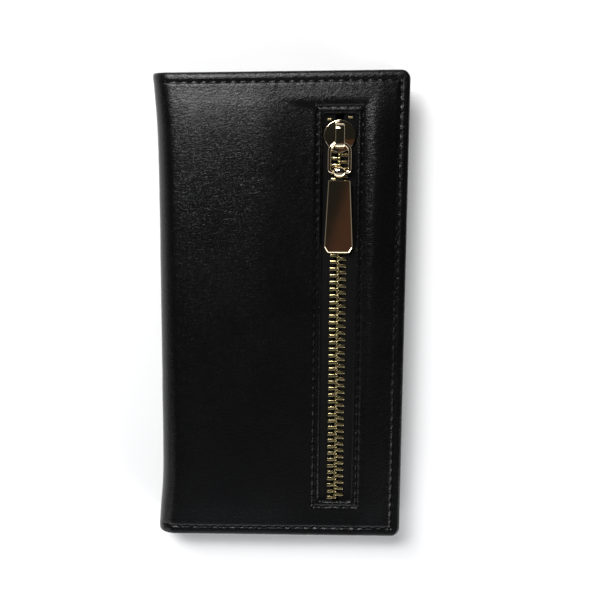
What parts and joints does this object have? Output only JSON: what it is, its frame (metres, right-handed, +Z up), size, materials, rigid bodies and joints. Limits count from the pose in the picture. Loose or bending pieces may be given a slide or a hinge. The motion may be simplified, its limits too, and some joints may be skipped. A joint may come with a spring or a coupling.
{
  "type": "long wallet",
  "caption": "Long black leather wallet that folds like a book along one long side, with a zipped coin pocket in its front cover and bill and card pockets inside.",
  "frame": {"origin": "centre of the footprint on the surface that the closed wallet lies on", "axes": "+X from the fold to the free edge, +Y along the fold towards the end where the closed zip's slider sits, +Z up through the front cover"},
  "size_m": [0.1, 0.19, 0.0242],
  "materials": {
    "cover_leather": "smooth black leather with a soft sheen",
    "inner_leather": "fine-grained black leather",
    "lining_fabric": "black twill lining",
    "board": "grey-brown fibreboard",
    "padding": "thin bonded fibre padding",
    "thread": "waxed black thread",
    "zip_tape": "black woven tape",
    "zip_metal": "polished pale brass",
    "slider_gold": "bright light-gold plating"
  },
  "bodies": {
    "back": {"back_cover_leather": "cover_leather", "back_bill_pocket": "inner_leather", "back_card_slot_1": "inner_leather", "back_card_slot_2": "inner_leather", "back_card_slot_3": "inner_leather", "back_card_slot_4": "inner_leather", "back_lining": "lining_fabric", "back_cover_board": "board", "back_cover_padding": "padding", "back_edge_stitching": "thread", "back_column_stitching": "thread"},
    "spine": {"spine_leather": "cover_leather", "spine_lining": "lining_fabric"},
    "front": {"front_cover_leather": "cover_leather", "front_inner_panel": "inner_leather", "front_bill_pocket": "inner_leather", "front_card_slot_1": "inner_leather", "front_card_slot_2": "inner_leather", "front_cover_board": "board", "front_edge_stitching": "thread", "front_column_stitching": "thread", "zip_window_stitching": "thread", "zip_tape_left": "zip_tape", "zip_tape_right": "zip_tape", "zip_teeth_left": "zip_metal", "zip_teeth_right": "zip_metal", "zip_top_stops": "zip_metal", "zip_bottom_stop": "zip_metal", "coin_pocket_bag": "lining_fabric"},
    "slider": {"zip_slider_body": "slider_gold", "zip_slider_bridge": "slider_gold"},
    "link": {"pull_link": "slider_gold"},
    "plate": {"pull_plate": "slider_gold"}
  },
  "joints": [
    {"name": "back_fold", "type": "hinge", "parent": "back", "child": "spine", "pos_m": [-0.04828, 0, 0.00172], "axis": [0, -1, 0], "range_deg": [0, 90]},
    {"name": "front_fold", "type": "hinge", "parent": "spine", "child": "front", "pos_m": [-0.04828, 0, 0.01828], "axis": [0, -1, 0], "range_deg": [0, 90]},
    {"name": "zip_slide", "type": "slide", "parent": "front", "child": "slider", "axis": [0, -1, 0], "range_m": [0, 0.14], "deforming": ["zip_teeth_left", "zip_teeth_right"]},
    {"name": "link_swing", "type": "hinge", "parent": "slider", "child": "link", "pos_m": [0.0228, 0.0673, 0.02225], "axis": [-1, 0, 0], "range_deg": [0, 130]},
    {"name": "plate_swing", "type": "hinge", "parent": "link", "child": "plate", "pos_m": [0.0228, 0.0564, 0.02196], "axis": [-1, 0, 0], "range_deg": [0, 60]}
  ],
  "couplings": [
    {"joint": "front_fold", "follows": "back_fold", "ratio": 1}
  ]
}
